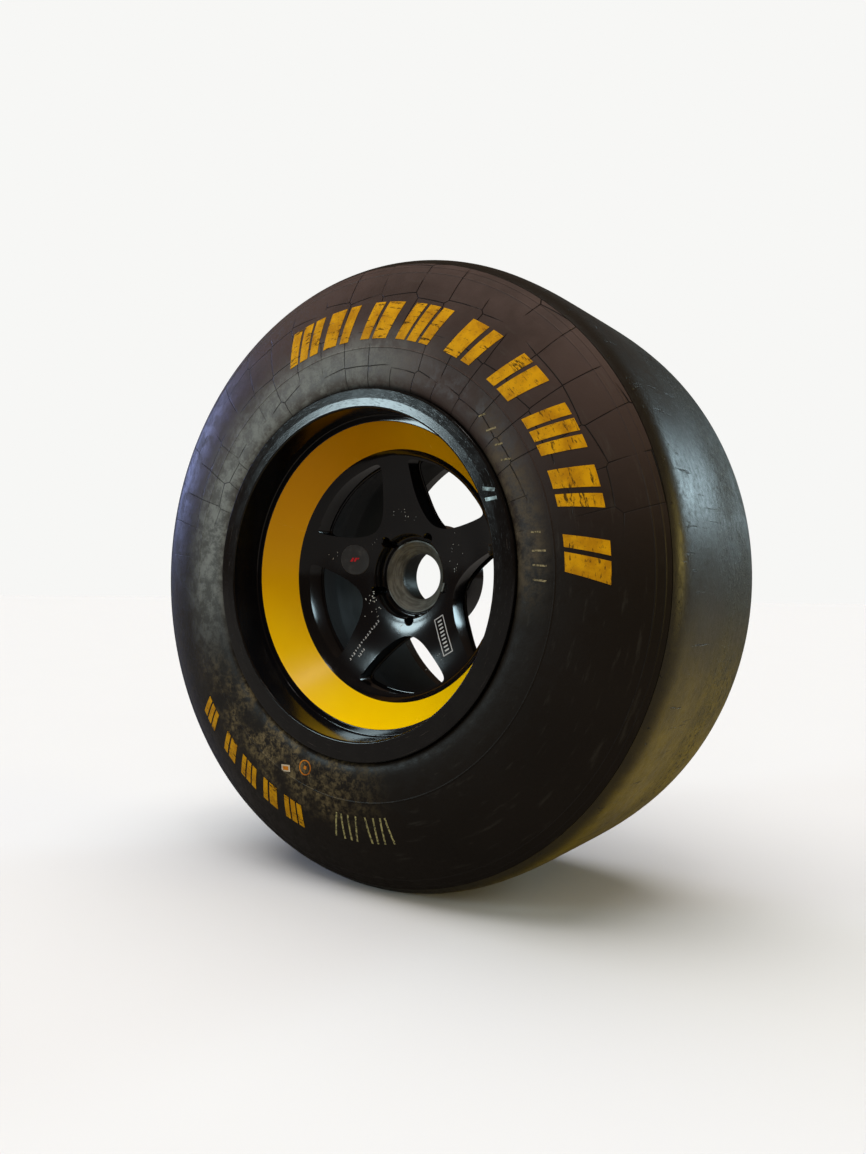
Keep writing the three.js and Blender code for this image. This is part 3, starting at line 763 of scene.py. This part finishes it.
def make_bushes():
    outer_r, front, rear = 7, -12, HUB_REAR_Y - 0.5
    outline = rounded([(outer_r, front, 0.3), (outer_r, rear, 0.5), (PEG_R, rear, 0.6),
                       (PEG_R, front, 0.3)], closed=True)
    for i, angle in enumerate(WINDOW_ANGLES):
        bush = ring(f"peg_bush_{i + 1}", outline, [STEEL], PEG_SIDES)
        move_to_peg(bush, angle)
        place(bush, (f"drive_bush_{i + 1}",))


# ---------------- tyre
SIDE_FROM_R, SIDE_TO_R = 182.2, 307  # from the rim to the shoulder
# Outside of a sidewall, as y at each radius
side_y = smooth_curve([(SIDE_FROM_R, 140.2), (186, 142.2), (200, 143.6), (218, 142.8),
                       (250, 136.8), (280, 126), (298, 116.2), (SIDE_TO_R, 109.2)])
MOULD_LINES = [(219, 0.5, 0.9), (296.5, 0.45, 0.8), (303, 0.5, 0.8)]  # radius, height, half width
TYRE_SEGMENTS = 360


def side_surface(radius):
    """Distance of the sidewall's surface from the centre plane, mould lines included."""
    y = side_y(radius)
    for at, height, half in MOULD_LINES:
        away = abs(radius - at) / half
        if away < 1:
            y += height * math.cos(away * math.pi / 2) ** 2
    return y


def make_sidewall(name, node, sign):
    radii = set(np.arange(SIDE_FROM_R, SIDE_TO_R, 3.2)) | {float(SIDE_TO_R)}
    for at, _, half in MOULD_LINES:
        radii |= {at + half * k / 3 for k in range(-4, 5)}
    outer = [(r, sign * side_surface(r), 0) for r in sorted(radii)]
    inside = [(301.4, 104.4), (280, 119.8), (250, 130.9), (217.5, 137.8), (200, 137.2),
              (176, 126.2), (165.5, 124), (165.5, 126.4), (167, 129.8), (172.3, 132.2),
              (181.7, 138)]
    inner = [(r, sign * y, 0) for r, y in inside]
    wall = ring(name, outer + inner, [SIDE], TYRE_SEGMENTS, 50)
    place(wall, (node,))


def make_tread():
    crown = smooth_curve([(0, 0), (45, 0.05), (78, 0.9), (94, 2.6), (101, 4.8), (105.4, 7.4),
                          (108.4, 10.2)])
    ys = [0, 20, 40, 55, 66, 74, 80, 85, 89, 92.5, 95.5, 98, 100, 102, 103.8, 105.4, 107, 108.4]
    top = [(TREAD_R - crown(y), y, 0) for y in ys[::-1]]
    top += [(r, -y, 0) for r, y, _ in top[-2::-1]]
    under = [(302.4, -104.5, 0), (306, -100, 0), (310.3, -78, 0), (311, -45, 0)]
    under += [(r, -y, 0) for r, y, _ in under[::-1]]
    tread = ring("tread_slick", top + under, [TREAD], TYRE_SEGMENTS, 50)
    place(tread, ("tread",))


# ---------------- marks on the outboard side
class Skin:
    """Maps flat (u, v) marks to a surface: v outwards from a radius, and u clockwise as seen
    from outboard. Marks bend along the circle unless bend is False."""

    def __init__(self, surface, angle, radius, lift, skew=0.0, bend=True):
        self.surface, self.angle, self.radius, self.lift = surface, angle, radius, lift
        self.skew, self.bend = math.radians(skew), bend

    def point(self, u, v, lift):
        turned_u = u * math.cos(self.skew) - v * math.sin(self.skew)
        turned_v = u * math.sin(self.skew) + v * math.cos(self.skew)
        if self.bend:
            radius = self.radius + turned_v
            angle = self.angle - math.degrees(turned_u / self.radius)
        else:
            radius = math.hypot(self.radius + turned_v, turned_u)
            angle = self.angle - math.degrees(math.atan2(turned_u, self.radius + turned_v))
        return polar(radius, angle, self.surface(radius) - self.lift - lift)


def grid_patch(corners, cells):
    """A flat quad (four corners) as cells x cells small quads, and its points in order round
    the rim."""
    a, b, c, d = map(np.array, corners)
    side = cells + 1
    parts = [i / cells for i in range(side)]
    points = [(a * (1 - s) + b * s) * (1 - t) + (d * (1 - s) + c * s) * t
              for s in parts for t in parts]
    quads = [(k, k + side, k + side + 1, k + 1)
             for i in range(cells) for k in range(i * side, i * side + cells)]
    numbers = np.arange(side * side).reshape(side, side)
    rim = (numbers[:-1, 0], numbers[-1, :-1], numbers[:0:-1, -1], numbers[0, :0:-1])
    return points, quads, np.concatenate(rim).tolist()


def slab_parts(skin, corners, thickness, cells):
    """A thin closed slab on the skin from a flat quad."""
    points, quads, rim = grid_patch(corners, cells)
    verts = [skin.point(u, v, thickness) for u, v in points]
    verts += [skin.point(u, v, 0.0) for u, v in points]
    count = len(points)
    faces = quads + [tuple(i + count for i in q[::-1]) for q in quads]
    for i, j in zip(rim, rim[1:] + rim[:1]):
        faces.append((i, j, j + count, i + count))
    return verts, faces, [0] * len(faces)


def stroke_quads(path, width, gap=0.04):
    """Quads along a flat polyline, wide as given, with a small gap between them."""
    quads = []
    for (u0, v0), (u1, v1) in zip(path, path[1:]):
        along = np.array([u1 - u0, v1 - v0])
        along = along / np.linalg.norm(along)
        side = np.array([-along[1], along[0]]) * width / 2
        a, b = np.array([u0, v0]) + along * gap / 2, np.array([u1, v1]) - along * gap / 2
        quads.append((a - side, b - side, b + side, a + side))
    return quads


def circle_path(radius, steps):
    return [(radius * math.cos(t), radius * math.sin(t)) for t in np.linspace(0, math.tau, steps)]


def make_marks(name, items, material, thickness, replaces=()):
    """items: (skin, quads, cells). One mesh of thin slabs."""
    parts = [slab_parts(skin, quad, thickness, cells) for skin, quads, cells in items
             for quad in quads]
    obj = make_mesh(name, *join_parts(*parts)[:2], [material], None, 60)
    place(obj, replaces)


def slanted(width, height, lean, u=0.0, v=0.0):
    """Corners of a bar centred on (u, v)."""
    half = height / 2
    shift = lean * half
    return [(u - width / 2 - shift, v - half), (u + width / 2 - shift, v - half),
            (u + width / 2 + shift, v + half), (u - width / 2 + shift, v + half)]


def sidewall(radius):
    return -side_surface(radius)


def make_sidewall_blocks():
    """Groups of slanted bars in two arcs, in place of painted lettering. A bar is (width, u)."""
    wide, middle, narrow, thin = 18, 12, 11.5, 7
    top_groups = (((narrow, -15), (narrow, 0), (narrow, 15)), ((wide, -11), (narrow, 9)),
                  ((narrow, -12), (wide, 7)))
    low_groups = (((thin, -9), (thin, 0.5), (thin, 10)), ((middle, -6), (thin, 6.5)))
    items = []
    for angles, radius, tall, lean, groups, cells in (
            ((106, 94.5, 83, 71.5, 57, 43.5, 29.5, 16.5, 3), 246, 37, 0.28, top_groups, 5),
            ((-143, -133, -124.5, -116.5, -108), 254, 23, -0.25, low_groups, 4)):
        for k, angle in enumerate(angles):
            skin = Skin(sidewall, angle, radius, 0.05)
            group = groups[k % len(groups)]
            items.append((skin, [slanted(width, tall, lean, u) for width, u in group], cells))
    make_marks("sidewall_blocks", items, LETTER, 0.35)


def make_chalk():
    """Rows of short chalk ticks."""
    skin = Skin(sidewall, -87, 246, 0.02)
    ticks = []
    for u in (-33, -24.5, -16, -7.5, 7.5, 16, 24.5, 33):
        lean = 1.6 * math.sin(u)
        path = [(u - lean + 2 * lean * t, -13 + 26 * t) for t in np.linspace(0, 1, 8)]
        ticks.append((skin, stroke_quads(path, 2.0), 2))
    make_marks("chalk_tally", ticks, CHALK, 0.15)

    dashes = []
    for angle, radius, lean, length in (
            (-1.5, 205, 0.1, 13), (2.0, 205, 0.1, 13), (5.5, 205, 0.1, 13), (10, 204, 0.2, 9),
            (30, 198, 0.5, 9), (34.5, 199, 0.5, 7), (39, 201, 0.5, 9), (43.5, 203, 0.5, 7)):
        skin = Skin(sidewall, angle, radius, 0.02)
        path = [(lean * length * (t - 0.5), length * (t - 0.5)) for t in np.linspace(0, 1, 4)]
        dashes.append((skin, stroke_quads(path, 1.6), 2))
    make_marks("chalk_notes", dashes, CHALK_DIM, 0.12)


def make_paint_stamps():
    """A ring with a dot in it, and a cream tab with an orange core."""
    stamp = Skin(sidewall, -106.4, 201.5, 0.02)
    ring_path = circle_path(7.2, 33)
    ring_mark = [(stamp, stroke_quads(ring_path, 1.2, 0.1), 1), (stamp, [slanted(3.4, 3.4, 0)], 2)]
    make_marks("paint_ring", ring_mark, ORANGE, 0.12)
    tab_angle, tab_r, tab_skew = -113, 214, 25
    tab = Skin(sidewall, tab_angle, tab_r, 0.02, skew=tab_skew)
    make_marks("paint_tab", [(tab, [slanted(12, 7, 0)], 3)], CREAM, 0.12)
    core = Skin(sidewall, tab_angle, tab_r, 0.14, skew=tab_skew)
    make_marks("paint_tab_core", [(core, [slanted(7.5, 4, 0)], 3)], ORANGE, 0.1)


def make_round_sticker():
    """A thin disc that follows the spoke, with slanted bars on it."""
    angle, radius, sticker_r, bevel, rows, sides = 165, 69, 16.4, 0.35, 6, 48
    disc = Skin(front_face, angle, radius, 0.1, bend=False)
    outline = [(sticker_r * k / rows, 0.45) for k in range(rows)] + [(sticker_r - bevel, 0.45)]
    outline += [(sticker_r * k / rows, 0.05) for k in range(rows, -1, -1)]
    verts = [disc.point(r * math.cos(a), r * math.sin(a), lift)
             for a in np.arange(sides) * math.tau / sides for r, lift in outline]
    faces = loop_faces(sides, len(outline), False)
    sticker = make_mesh("spoke_disc", verts, faces, [STICKER], None, 40)
    place(sticker, ("round_sticker",))
    mark = Skin(front_face, angle, radius, 0.6, skew=-75, bend=False)
    bars = [slanted(2.4, 4.2, 0.6, u) for u in (-3.2, 0.4)] + [slanted(1.6, 1.6, 0.6, 3.6, 1.2)]
    make_marks("spoke_disc_mark", [(mark, bars, 2)], RED, 0.12)


def make_spoke_label():
    """A framed ladder of bars."""
    half_wide, half_long, line, bar, bar_step = 6, 20, 1, 1.6, 4
    label = Skin(front_face, 310.7, 79.2, 0.3, skew=-12, bend=False)
    prints = [slanted(2 * half_wide + line, line, 0, 0, v) for v in (-half_long, half_long)]
    prints += [slanted(line, 2 * half_long - 1.1, 0, u) for u in (-half_wide, half_wide)]
    prints += [slanted(5.4, bar, 0, 0, bar_step * k) for k in range(-4, 5)]
    make_marks("spoke_label_print", [(label, prints, 2)], WHITE, 0.2,
               ("spoke_label",))


def make_spoke_ticks():
    """Two rows of small pale ticks along a spoke."""
    rng = random.Random(4)
    ticks = []
    for start, end, offset, count in ((60, 113, 4, 15), (92, 104, -3, 4)):
        for k in range(count):
            at = start + (end - start) * k / count
            skin = Skin(front_face, 236.5, at, 0.05, bend=False)
            tall = rng.uniform(1.2, 2.4)
            ticks.append((skin, [slanted(tall, 0.9, 0, offset, 0)], 1))
            if rng.random() < 0.5:
                ticks.append((skin, [slanted(0.6, 2.0, 0, offset - 1.2, 0.6)], 1))
    make_marks("spoke_ticks", ticks, WHITE, 0.06)


FLAKE_SIDES = 6


def flake_outline(rng, u, v, size):
    """An irregular polygon round (u, v), about half as wide as it is long."""
    reach = size * rng.uniform(0.5, 1.6)
    lean = rng.uniform(0, math.pi)
    corners = []
    for k in range(FLAKE_SIDES):
        a = 2 * math.pi * k / FLAKE_SIDES
        r = reach * rng.uniform(0.5, 1.1)
        du, dv = r * math.cos(a), 0.5 * r * math.sin(a)
        corners.append((u + du * math.cos(lean) - dv * math.sin(lean),
                        v + du * math.sin(lean) + dv * math.cos(lean)))
    return corners


def make_chips():
    """Small flakes of bare metal where the lacquer is chipped on the hub and the spokes."""
    rng = random.Random(11)
    clusters = [  # angle, radius, spread in mm, count, size
        (95, 67, 12, 7, 0.5), (88, 60, 7, 6, 0.6), (22, 74, 17, 8, 0.7), (10, 64, 8, 5, 0.9),
        (207, 52, 7, 16, 0.9), (222, 56, 7, 8, 0.7), (262, 54, 4, 4, 0.9), (143, 57, 5, 4, 0.5),
        (300, 100, 12, 5, 0.5), (165, 96, 8, 5, 0.6),
    ]
    verts, faces = [], []
    for angle, radius, spread, count, size in clusters:
        where = Skin(front_face, angle, radius, 0.05, bend=False)
        for _ in range(count):
            u, v = rng.gauss(0, spread * 0.6), rng.gauss(0, spread * 0.5)
            if math.hypot(radius + v, u) < RECESS_R + 3:
                continue
            corners = flake_outline(rng, u, v, size)
            top = len(verts)
            low = top + FLAKE_SIDES
            verts += [where.point(*c, 0.06) for c in corners]
            verts += [where.point(*c, -0.1) for c in corners]
            faces += [tuple(range(top, low)), tuple(reversed(range(low, low + FLAKE_SIDES)))]
            for k in range(FLAKE_SIDES):
                j = (k + 1) % FLAKE_SIDES
                faces.append((top + k, top + j, low + j, low + k))
    place(make_mesh("lacquer_chips", verts, faces, [CHIP], None, 60))


def lip_face(radius):
    """The lip's surface under the strips: flat up to a radius, then sloping back."""
    knee_r, slope = 170, 0.12
    return -(RIM_HALF - 0.6 - max(radius - knee_r, 0) * slope)


def make_strips():
    for i, (angle, radius, skew) in enumerate(((25.5, 172, -32), (22.6, 170.5, -14))):
        skin = Skin(lip_face, angle, radius, 0.05, skew=skew, bend=False)
        make_marks(f"lip_foil_{i + 1}", [(skin, [slanted(3.2, 12, 0)], 6)], FOIL, 0.25,
                   (f"lip_strip_{i + 1}",))


# ---------------- valve
joints = {joint["name"]: joint for joint in frame["record"]["behaviour"]["joints"]}
CAP_TURN = joints["valve_cap_turn"]
VALVE_BASE = Vector(CAP_TURN["pos_m"])
VALVE_AXIS = Vector(CAP_TURN["axis"]).normalized()
VALVE_TURN = Vector((0, 1, 0)).rotation_difference(VALVE_AXIS).to_matrix().to_4x4()


def on_valve(obj, node, body="wheel"):
    """Moves a piece that was made round Y to the valve's axis, and places it."""
    obj.data.transform(Matrix.Translation(VALVE_BASE) @ VALVE_TURN)
    place(obj, (node,), body)


def make_valve_stem():
    """Threaded stem, with its sealing grommet and washer."""
    root_r, crest_r, bore_r = 3.62, 3.98, 2.6
    low, pitch = 0.4, 0.79
    threads = []
    for k in range(10):
        at = low + pitch * k
        threads += [(root_r, at, 0), (crest_r, at + pitch * 0.35, 0),
                    (crest_r, at + pitch * 0.55, 0)]
    stem = [(bore_r, -10.3, 0), (8, -10.3, 0), (8, -7.3, 0), (4, -7.3, 0), (4, 0.2, 0), *threads,
            (root_r, 8.6, 0), (3.4, 9, 0), (bore_r, 9, 0)]
    on_valve(ring("valve_stem_turned", stem, [BRASS], 48), "valve_stem")
    grommet = rounded([(4.25, -7, 0.2), (8, -7, 0.7), (7.6, -5.6, 0.4), (4.25, -5.6, 0.2)], True)
    on_valve(ring("valve_grommet_round", grommet, [SEAL], 48), "valve_grommet")
    washer = rounded([(4.3, 0.3, 0.15), (7, 0.3, 0.25), (7, 1.1, 0.25), (4.3, 1.1, 0.15)], True)
    on_valve(ring("valve_washer_round", washer, [STEEL], 48), "valve_washer")


def hexagon_radius(angle, corner_r):
    """Distance from the centre to the side of a hexagon, in the direction of the angle."""
    sixth = math.pi / 6
    from_flat = (math.radians(angle) + sixth) % (2 * sixth) - sixth
    return corner_r * math.cos(sixth) / math.cos(from_flat)


def make_valve_nut():
    corner_r, hole_r, steps = 6.85, 4.3, 72
    chamfer_r = corner_r * 0.92
    verts = []
    for s in range(steps):
        angle = 360 * s / steps
        side_r = hexagon_radius(angle, corner_r)
        end_r = min(side_r, chamfer_r)
        outline = [(end_r, 1.4), (side_r, 1.8), (side_r, 4.5), (end_r, 4.9), (hole_r, 4.7),
                   (hole_r, 1.6)]
        verts += [polar(r, angle, y) for r, y in outline]
    nut = make_mesh("valve_nut_hex", verts, loop_faces(steps, len(outline), True), [STEEL])
    on_valve(nut, "valve_nut")


def make_valve_cap():
    """Closed cap with a knurled outside."""
    knurled_r, steps = 5.0, 96
    verts = []
    for s in range(steps):
        outer_r = knurled_r + (0.16 if s % 4 < 2 else -0.1)
        outline = [(0, 11.3), (4.35, 11.3), (4.35, 5.4), (4.95, 5.25), (outer_r, 5.7),
                   (outer_r, 11.6), (4.6, 12.2), (4.0, 12.5), (0, 12.5)]
        verts += [polar(r, 360 * s / steps, y) for r, y in outline]
    cap = make_mesh("valve_cap_knurled", verts, loop_faces(steps, len(outline), False), [CAP])
    on_valve(cap, "valve_cap", "valve_cap")


def finish_inner_nodes():
    """Materials for the CAD pieces that stay as they are."""
    by_slot = {"inner_rubber": INNER, "seal_rubber": SEAL, "steel": STEEL, "brass": BRASS}
    slots = {row["node"]: row["material_slot"] for row in frame["record"]["subparts"]}
    for name, obj in frame["nodes"].items():
        material = by_slot.get(slots[name])
        if material:
            obj.data.materials.clear()
            obj.data.materials.append(material)


# ---------------- stage, camera, lights
def sun_light(name, toward, spread, strength, color, mirrored=True):
    """A soft light from one direction: toward points from the wheel to the light. Without
    mirrored it lights surfaces but makes no glare on the lacquer."""
    data = bpy.data.lights.new(name, "SUN")
    data.energy, data.color, data.angle = strength, color, math.radians(spread)
    light = bpy.data.objects.new(name, data)
    light.rotation_euler = Vector(toward).to_track_quat("Z", "Y").to_euler()
    light.visible_glossy = mirrored
    bpy.context.collection.objects.link(light)


def make_floor():
    """A pale floor that throws little light back on the wheel."""
    p = Paint("floor_pale", (0.7, 0.7, 0.71), 0.9, specular=0.0)
    pale = p.mix(p.noise(3, 4), (0.69, 0.695, 0.7), (0.7, 0.705, 0.71))
    to_camera = p.node("LightPath")
    p.set("Base Color", p.mix(to_camera, (0.16, 0.15, 0.14), pale))
    sides, radii = 96, (0, 1000, 3000, 9000, 30000)
    verts = [(r * math.cos(a), r * math.sin(a), FLOOR_Z / MM)
             for a in np.arange(sides) * math.tau / sides for r in radii]
    make_mesh("floor", verts, loop_faces(sides, len(radii), False), [p.material])


def make_world():
    """A pale backdrop all round, over a dim and slightly warm room light."""
    world = bpy.data.worlds.new("studio")
    bpy.context.scene.world = world
    world.use_nodes = True
    tree = world.node_tree
    room = tree.nodes["Background"]
    room.inputs[0].default_value = (1.0, 0.66, 0.45, 1)
    room.inputs[1].default_value = 0.07
    pale = tree.nodes.new("ShaderNodeBackground")
    pale.inputs[0].default_value = (0.93, 0.93, 0.915, 1)
    mix = tree.nodes.new("ShaderNodeMixShader")
    path = tree.nodes.new("ShaderNodeLightPath")
    tree.links.new(path.outputs["Is Camera Ray"], mix.inputs[0])
    tree.links.new(room.outputs[0], mix.inputs[1])
    tree.links.new(pale.outputs[0], mix.inputs[2])
    tree.links.new(mix.outputs[0], tree.nodes["World Output"].inputs[0])


def make_lights():
    """Broad lights a long way off, so that the floor is evenly lit."""
    sun_light("ceiling", (-0.1, -0.1, 1), 70, 3.2, (1, 0.985, 0.97), mirrored=False)
    sun_light("ceiling_lamp", (0.25, -0.3, 1), 9, 0.12, (1, 0.97, 0.95))
    sun_light("front_right", (0.5, -0.78, 0.45), 46, 0.9, (1, 0.9, 0.74), mirrored=False)
    sun_light("front_left_top", (-0.60, -0.76, 0.25), 13, 0.72, (0.72, 0.93, 1))
    sun_light("rear_right", (0.42, 0.88, 0.3), 15, 0.58, (0.66, 0.9, 1))
    sun_light("right_low", (0.95, 0.22, 0.03), 26, 1.3, (1, 0.8, 0.24))
    sun_light("left_blue", (-0.93, 0.1, 0.25), 20, 0.55, (0.4, 0.5, 1))


def make_camera():
    data = bpy.data.cameras.new("camera")
    data.sensor_width = 36
    data.lens = 900 / 1154 * data.sensor_width  # 0.78 image heights
    camera = bpy.data.objects.new("camera", data)
    forward = Vector((-0.56789, 0.82298, 0.014565)).normalized()
    up = Vector((0, -0.017695, 0.999843))
    right = forward.cross(up).normalized()
    up = right.cross(forward)
    turn = Matrix((right, up, -forward)).transposed().to_4x4()
    camera.matrix_world = Matrix.Translation((0.5600, -0.8155, -0.0144)) @ turn
    bpy.context.collection.objects.link(camera)
    bpy.context.scene.camera = camera


bpy.context.scene.view_settings.view_transform = "Standard"
make_camera()
make_world()
make_floor()
make_lights()
make_rim()
make_insert()
make_bushes()
make_sidewall("sidewall_outer", "outboard_sidewall", -1)
make_sidewall("sidewall_inner", "inboard_sidewall", 1)
make_tread()
make_sidewall_blocks()
make_chalk()
make_paint_stamps()
make_round_sticker()
make_spoke_label()
make_spoke_ticks()
make_chips()
make_strips()
make_valve_stem()
make_valve_nut()
make_valve_cap()
finish_inner_nodes()
